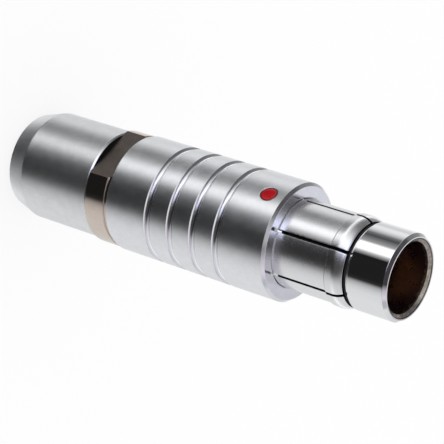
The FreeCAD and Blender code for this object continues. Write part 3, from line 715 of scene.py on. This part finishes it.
def dot_seat():
    """The sleeve round the dot: from the window's square edge to the round, flat-bottomed hole."""
    border = window_border()
    count = len(border)
    spots = [on_sleeve(*drawn_in(x, y, radius, share), depth)
             for radius, share, depth in SEAT_RINGS for x, y in border]
    faces = []
    for ring in range(len(SEAT_RINGS) - 1):
        outer, inner = ring * count, (ring + 1) * count
        for n in range(count):
            m = (n + 1) % count
            faces.append((outer + n, outer + m, inner + m, inner + n))
    faces.append(range(len(spots) - count, len(spots)))
    return spots, faces


sleeve_corners = [
    Corner(skirt_bore, mouth_floor, EDGE),
    Corner(mouth_bore, mouth_floor, EDGE),
    Corner(mouth_bore, sleeve_rear, CRISP),
    Corner(sleeve_radius - sleeve_back_bevel, sleeve_rear, CRISP),
    Corner(sleeve_radius, sleeve_rear + sleeve_back_bevel, 0.08),
    *groove_corners(),
    *window_rows,
    Corner(sleeve_radius, sleeve_front - sleeve_bevel, 0.04, turned_bright),
    Corner(sleeve_radius - sleeve_bevel, sleeve_front, 0.04, turned_bright),
    Corner(sleeve_bore + sleeve_bore_bevel, sleeve_front, 0.04, turned_bright),
    # the bore behind the front end is painted shade, the dark gap round the latch
    Corner(sleeve_bore, sleeve_front - sleeve_bore_bevel, CRISP, recess_painted_shade),
    Corner(sleeve_bore, sleeve_step, CRISP, recess_painted_shade),
    Corner(chamber_radius, sleeve_step, SOFT),
    Corner(chamber_radius, stop_ring_front, CRISP),
    Corner(skirt_bore, stop_ring_front, SOFT),
]


def make_grip_sleeve():
    """The turned sleeve, with the dot's seat in place of its window."""
    vertices, faces, marks = spun(rounded(sleeve_corners), window_columns + outside_columns, in_window)
    seat_vertices, seat_faces = dot_seat()
    faces += [[len(vertices) + n for n in face] for face in seat_faces]
    marks += [satin_chrome] * len(seat_faces)
    return mesh_piece("grip_sleeve_turned", vertices + seat_vertices, faces, marks,
                      [satin_chrome, turned_bright, recess_painted_shade, groove_painted_shade])


carry(make_grip_sleeve(), "release_sleeve", ["grip_sleeve"])


# Index dot: glossy enamel in its seat, a shallow dome with a sunk rim in painted shade

DOT_STEPS = 64
DOT_RINGS = [                      # (radius as a share of the dot's, depth below the sleeve's curve)
    (0.25, 0.006), (0.5, 0.012), (0.7, 0.025), (0.82, 0.045), (0.9, 0.075), (0.95, 0.11), (0.975, 0.15),
    (0.975, dot_depth - 0.03),
]
DOT_TOP_DEPTH = 0.005
RIM_SHARE = 0.85                   # the rings beyond it have the rim's painted shade, a darker enamel


def make_index_dot():
    """The dot from the middle of its dome outwards, down its side and across its bottom."""
    vertices, faces, marks = [on_sleeve(0, 0, DOT_TOP_DEPTH)], [], []
    for share, depth in DOT_RINGS:
        for angle in even_angles(DOT_STEPS):
            across, up = dot_radius * share * math.cos(angle), dot_radius * share * math.sin(angle)
            vertices.append(on_sleeve(across, up, depth))
    for n in range(DOT_STEPS):
        faces.append((0, 1 + n, 1 + (n + 1) % DOT_STEPS))
        marks.append(red_enamel)
    for r in range(len(DOT_RINGS) - 1):
        inner, outer = 1 + r * DOT_STEPS, 1 + (r + 1) * DOT_STEPS
        for n in range(DOT_STEPS):
            m = (n + 1) % DOT_STEPS
            faces.append((inner + n, outer + n, outer + m, inner + m))
            marks.append(rim_painted_shade if DOT_RINGS[r + 1][0] > RIM_SHARE else red_enamel)
    faces.append(range(len(vertices) - DOT_STEPS, len(vertices)))
    marks.append(rim_painted_shade)
    return mesh_piece("index_dot_enamel", vertices, faces, marks, [red_enamel, rim_painted_shade])


carry(make_index_dot(), "release_sleeve", ["index_dot"])


# Clamp body: a turned collar and neck with two milled flats

FLAT_BEND = math.radians(30)       # sharper bends than this stay sharp
FACES_SIDEWAYS = 0.999             # of a flat's normal along Y, at least
OFF_FLAT = 0.001                   # from a flat's plane, at most


def box_object(name, low, high):
    corners = [(x, y, z) for x in (low[0], high[0]) for y in (low[1], high[1]) for z in (low[2], high[2])]
    faces = [(0, 1, 3, 2), (4, 6, 7, 5), (0, 4, 5, 1), (2, 3, 7, 6), (0, 2, 6, 4), (1, 5, 7, 3)]
    return mesh_piece(name, corners, faces, [None] * len(faces), [])


def mill_flats(piece):
    """Cuts both flats, from the nut's face to under the sleeve, as the CAD source does, and
    gives them the milled finish, whose near-black brown is a painted dark reflection."""
    beyond = collar_radius + 1
    behind = nut_front - 0.3
    cutters = []
    for side in (-1, 1):
        low_y, high_y = sorted((side * flat_half_width, side * beyond))
        cutters.append(box_object("flat_cutter", (-beyond, low_y, behind), (beyond, high_y, flat_front)))
        cut = piece.modifiers.new("flat", "BOOLEAN")
        cut.operation, cut.solver, cut.object = "DIFFERENCE", "EXACT", cutters[-1]
    graph = bpy.context.evaluated_depsgraph_get()
    piece.data = bpy.data.meshes.new_from_object(piece.evaluated_get(graph))
    piece.modifiers.clear()
    for cutter in cutters:
        bpy.data.objects.remove(cutter)
    piece.data.set_sharp_from_angle(angle=FLAT_BEND)
    milled = piece.data.materials.find(milled_flat_painted_reflection.name)
    for face in piece.data.polygons:
        distance = abs(abs(face.center.y) / MM - flat_half_width)
        if abs(face.normal.y) > FACES_SIDEWAYS and distance < OFF_FLAT:
            face.material_index = milled


clamp_body = turned("clamp_body_turned", [
    Corner(body_bore, body_rear, SOFT),
    Corner(thread_radius, body_rear, 0.25),
    Corner(thread_radius, nut_front),
    Corner(collar_radius - collar_back_bevel, nut_front, CRISP),
    Corner(collar_radius, nut_front + collar_back_bevel, CRISP),
    Corner(collar_radius, collar_front - collar_bevel, CRISP),
    Corner(collar_radius - collar_bevel, collar_front, CRISP),
    Corner(shoulder_radius, collar_front, 0.02),
    Corner(shoulder_radius, shoulder_front, EDGE),
    Corner(neck_radius, shoulder_front, EDGE),
    Corner(neck_radius, neck_front, SOFT),
    Corner(body_guide_bore, neck_front, EDGE),
    Corner(body_guide_bore, shell_rear, EDGE),
    Corner(body_bore, shell_rear, EDGE),
], [warm_nickel, milled_flat_painted_reflection])
mill_flats(clamp_body)
carry(clamp_body, "core", ["clamp_body"])


# Back nut

back_nut = turned("back_nut_turned", [
    Corner(cable_bore + cable_bevel, 0.0, EDGE),
    Corner(nut_end_radius, 0.0, 0.35),
    Corner(nut_radius, cone_length, 0.5),
    Corner(nut_radius, nut_front - nut_bevel_length, 0.04, turned_bright),
    # the nut's front face is painted shade
    Corner(nut_radius - nut_bevel_drop, nut_front, CRISP, recess_painted_shade),
    Corner(nut_thread_radius, nut_front, EDGE),
    Corner(nut_thread_radius, nut_thread_rear, EDGE),
    Corner(collet_seat_radius, nut_thread_rear, EDGE),
    Corner(collet_seat_radius, collet_seat, EDGE),
    Corner(cable_bore, cable_bore_front, EDGE),
    Corner(cable_bore, cable_bevel, EDGE),
], [nut_satin, turned_bright, recess_painted_shade], columns=256)
carry(back_nut, "core", ["back_nut"])


# Contacts and collet, which show in the two openings

shield_contact = slotted("shield_contact_fingers", [
    Corner(shield_bore, shield_rear, EDGE),
    Corner(shield_radius, shield_rear, EDGE),
    Corner(shield_radius, shield_flange_rear, EDGE),
    Corner(shield_flange_radius, shield_flange_rear, EDGE),
    Corner(shield_flange_radius, shield_flange_front, EDGE),
    Corner(shield_radius, shield_flange_front, EDGE),
    Corner(shield_radius, shield_front, 0.15),
    Corner(shield_bore, shield_front, 0.15),
], [gold_plate], count=4, width=0.4, root=shield_front - 4.0, columns_each=24)
carry(shield_contact, "core", ["shield_contact"])

centre_contact = turned("centre_contact_turned", [
    Corner(0.0, cup_floor),
    Corner(cup_bore, cup_floor, EDGE),
    Corner(cup_bore, cup_rear, EDGE),
    Corner(cup_radius, cup_rear, 0.08),
    Corner(cup_radius, shield_rear, EDGE),
    Corner(pin_flange_radius, shield_rear, EDGE),
    Corner(pin_flange_radius, pin_flange_front, EDGE),
    Corner(pin_radius, pin_flange_front, EDGE),
    Corner(pin_radius, pin_front, 0.6),
    Corner(0.0, pin_front),
], [gold_plate], columns=96)
carry(centre_contact, "core", ["centre_contact"])

cable_collet = slotted("cable_collet_fingers", [
    Corner(collet_bore, collet_rear, SOFT),
    Corner(collet_end_radius, collet_rear, SOFT),
    Corner(collet_head_radius, collet_seat, SOFT),
    Corner(collet_head_radius, body_rear, EDGE),
    Corner(collet_neck_radius, body_rear, EDGE),
    Corner(collet_neck_radius, collet_front, SOFT),
    Corner(collet_bore, collet_front, SOFT),
], [turned_brass], count=6, width=0.6, root=body_rear + 2.5, columns_each=20, toward_front=False,
    edge_round=EDGE)
carry(cable_collet, "core", ["cable_collet"])


# Finishes of the CAD nodes that stay

slot_finishes = {
    "insulator": ivory_insulator,
    "turned_brass": turned_brass,
    "black_rubber": black_rubber,
    "washer_steel": washer_steel,
}
record_slots = {part["node"]: part["material_slot"] for part in frame["record"]["subparts"]}
for node, shown in frame["nodes"].items():
    if shown.hide_render:
        continue
    finish = slot_finishes[record_slots[node]]
    if not shown.material_slots:
        shown.data.materials.append(finish)
    for place in shown.material_slots:
        place.material = finish


# Stage: a plain white floor that keeps a soft shadow

FLOOR_HALF = 3.0                   # metres
FLOOR_GAP = 2e-5                   # metres, under the face that the plug stands on
FLOOR_WHITE = (0.97, 0.97, 0.97, 1)
FLOOR_GLOW = 0.80                  # share of the floor's white that doesn't depend on the light


def make_floor():
    """The floor is white to the camera and to the light, and metal doesn't mirror it."""
    mesh = bpy.data.meshes.new("floor")
    corners = [(FLOOR_HALF * x, FLOOR_HALF * y, 0) for x, y in ((-1, -1), (1, -1), (1, 1), (-1, 1))]
    mesh.from_pydata(corners, [], [range(len(corners))])
    floor = bpy.data.objects.new("floor", mesh)
    floor.location.z = -FLOOR_GAP
    bpy.context.scene.collection.objects.link(floor)
    material = bpy.data.materials.new("floor_white")
    material.use_nodes = True
    nodes, links = material.node_tree.nodes, material.node_tree.links
    nodes.clear()
    plain = add(nodes, "ShaderNodeBsdfDiffuse")
    plain.inputs["Color"].default_value = FLOOR_WHITE
    glow = add(nodes, "ShaderNodeEmission")
    glow.inputs["Strength"].default_value = 1.0
    share = add(nodes, "ShaderNodeMixShader")
    amount = add(nodes, "ShaderNodeMath", operation="MULTIPLY")
    amount.inputs[1].default_value = FLOOR_GLOW
    links.new(add(nodes, "ShaderNodeLightPath").outputs["Is Camera Ray"], amount.inputs[0])
    links.new(amount.outputs[0], share.inputs["Fac"])
    links.new(plain.outputs[0], share.inputs[1])
    links.new(glow.outputs[0], share.inputs[2])
    links.new(share.outputs[0], add(nodes, "ShaderNodeOutputMaterial").inputs["Surface"])
    mesh.materials.append(material)
    floor.visible_glossy = False


make_floor()


# Studio light. Metal mirrors the walls of the studio: bright boxes, dark flags and the pale
# paper between them. Each tier of the walls is (lowest rise, highest rise, tint, stops), where
# a rise is the sine of the height angle and a stop is (degrees from the front, brightness)
# and, where it differs from the tier's, a tint.

FRONT = math.radians(-53.1)        # the camera's side
WALL_TINT = (0.985, 0.992, 1.0)
PALE_TINT = (0.91, 0.94, 1.0)
VIOLET_TINT = (0.76, 0.79, 1.0)
SHADE_TINT = (0.97, 0.90, 1.0)
BOX_STOPS = (-52, -38, -30)


def low_wall_stops(box_levels):
    """The stops that two low tiers share. Only their bright box has levels of its own."""
    return [
        (-180, 0.86), (-160, 0.92), (-145, 0.74), (-132, 0.66), (-120, 0.88), (-110, 0.82), (-100, 0.56),
        (-90, 0.17), (-80, 0.07), (-70, 0.20), (-60, 0.36), *zip(BOX_STOPS, box_levels), (-21, 0.012),
        (-10, 0.014), (32, 0.014), (41, 0.03), (50, 0.43), (60, 0.63), (72, 0.74), (100, 0.78), (150, 0.76),
        (180, 0.86)]


wall_tiers = [
    (-1.0, -0.90, WALL_TINT, [
        (-180, 1.3), (-150, 1.4), (-130, 1.0), (-113, 0.5), (-97, 0.2), (-80, 0.05), (-52, 0.02), (10, 0.02),
        (25, 0.07), (45, 0.17), (60, 0.28), (90, 0.40), (108, 0.60), (124, 0.9), (142, 1.3), (180, 1.3)]),
    (-0.68, -0.61, WALL_TINT, low_wall_stops((0.86, 0.74, 0.28))),
    (-0.57, -0.42, WALL_TINT, low_wall_stops((1.50, 1.40, 0.46))),
    (-0.36, -0.28, WALL_TINT, [
        (-180, 1.0), (-150, 1.1), (-110, 1.5), (-88, 1.3), (-60, 1.7), (-45, 1.6), (-30, 1.3), (-18, 0.9),
        (-8, 0.3), (2, 0.0), (46, 0.0), (60, 0.7), (75, 1.0), (100, 1.2), (130, 1.2), (180, 1.0)]),
    (-0.18, 0.40, WALL_TINT, [
        (-180, 0.70), (-150, 0.50), (-138, 0.26), (-105, 0.16), (-90, 0.14), (-76, 0.24),
        (-64, 0.45), (-52, 0.85), (-40, 1.25), (-28, 1.35), (-18, 1.2, VIOLET_TINT), (-9, 0.9, VIOLET_TINT),
        (0, 0.16), (8, 0.05), (45, 0.04), (56, 0.45), (72, 0.72), (110, 0.76), (140, 0.70), (180, 0.70)]),
    (0.45, 0.54, PALE_TINT, [
        (-180, 0.84), (-168, 0.78), (-150, 0.34), (-120, 0.12), (-90, 0.07), (-72, 0.10), (-58, 0.25),
        (-46, 1.2, VIOLET_TINT), (-30, 2.5, VIOLET_TINT), (-8, 2.4, VIOLET_TINT), (0, 1.0, VIOLET_TINT),
        (7, 0.05), (35, 0.06), (50, 0.24), (75, 0.45), (110, 0.55), (180, 0.56)]),
    (0.61, 0.80, SHADE_TINT, [
        (-180, 0.84), (-150, 0.50), (-120, 0.20), (-90, 0.09), (-60, 0.06), (40, 0.05), (58, 0.55),
        (80, 0.80), (180, 0.80)]),
    (0.88, 1.0, WALL_TINT, [(-180, 0.88), (180, 0.88)]),
]


def wall_colours(nodes, links, turn, tint, stops):
    """One tier's colours, from the share of a full turn."""
    ramp = add(nodes, "ShaderNodeValToRGB")
    links.new(turn, ramp.inputs["Fac"])
    elements = ramp.color_ramp.elements
    elements.remove(elements[-1])
    for n, (degrees, level, *own_tint) in enumerate(stops):
        at = (degrees + 180) / 360
        element = elements[0] if n == 0 else elements.new(at)
        element.position = at
        element.color = (*[level * c for c in (own_tint[0] if own_tint else tint)], 1)
    return ramp.outputs["Color"]


def make_world():
    """Plain white light for all surfaces, and the walls for what glossy ones mirror."""
    world = bpy.data.worlds.new("studio")
    bpy.context.scene.world = world
    world.use_nodes = True
    nodes, links = world.node_tree.nodes, world.node_tree.links
    nodes.clear()
    facing = add(nodes, "ShaderNodeVectorRotate", rotation_type="Z_AXIS")
    facing.inputs["Angle"].default_value = -FRONT
    links.new(add(nodes, "ShaderNodeTexCoord").outputs["Generated"], facing.inputs["Vector"])
    parts = add(nodes, "ShaderNodeSeparateXYZ")
    links.new(facing.outputs[0], parts.inputs[0])
    azimuth = add(nodes, "ShaderNodeMath", operation="ARCTAN2")
    links.new(parts.outputs["Y"], azimuth.inputs[0])
    links.new(parts.outputs["X"], azimuth.inputs[1])
    turn = spread(nodes, links, azimuth.outputs[0], 0, 1, -math.pi, math.pi)
    colours, ceiling = None, None
    for low, high, tint, stops in wall_tiers:
        tier = wall_colours(nodes, links, turn, tint, stops)
        if colours is None:
            colours = tier
        else:
            share = spread(nodes, links, parts.outputs["Z"], 0, 1, ceiling, low)
            colours = mixed(nodes, links, share, colours, tier)
        ceiling = high
    mirrored = add(nodes, "ShaderNodeBackground")
    links.new(colours, mirrored.inputs["Color"])
    plain = add(nodes, "ShaderNodeBackground")
    plain.inputs["Color"].default_value = (1, 1, 1, 1)
    pick = add(nodes, "ShaderNodeMixShader")
    links.new(add(nodes, "ShaderNodeLightPath").outputs["Is Glossy Ray"], pick.inputs["Fac"])
    links.new(plain.outputs[0], pick.inputs[1])
    links.new(mirrored.outputs[0], pick.inputs[2])
    links.new(pick.outputs[0], add(nodes, "ShaderNodeOutputWorld").inputs["Surface"])


make_world()


# Camera, as fitted to the turned edges in the photograph

CAMERA_PLACE = Vector((0.148354, -0.197589, 0.200152))
CAMERA_BACK = Vector((0.499162, -0.667659, 0.552331))
CAMERA_UP = Vector((-0.661013, -0.705543, -0.255480))
CAMERA_LENS = 161.58
SENSOR_WIDTH = 36.0
CLIP_NEAR, CLIP_FAR = 0.01, 20.0


def make_camera():
    camera = bpy.data.cameras.new("camera")
    camera.lens = CAMERA_LENS
    camera.sensor_width = SENSOR_WIDTH
    camera.clip_start, camera.clip_end = CLIP_NEAR, CLIP_FAR
    holder = bpy.data.objects.new("camera", camera)
    bpy.context.scene.collection.objects.link(holder)
    back = CAMERA_BACK.normalized()
    right = CAMERA_UP.cross(back).normalized()
    up = back.cross(right)
    holder.matrix_world = Matrix.Translation(CAMERA_PLACE) @ Matrix((right, up, back)).transposed().to_4x4()
    bpy.context.scene.camera = holder


make_camera()
bpy.context.scene.view_settings.view_transform = "Standard"
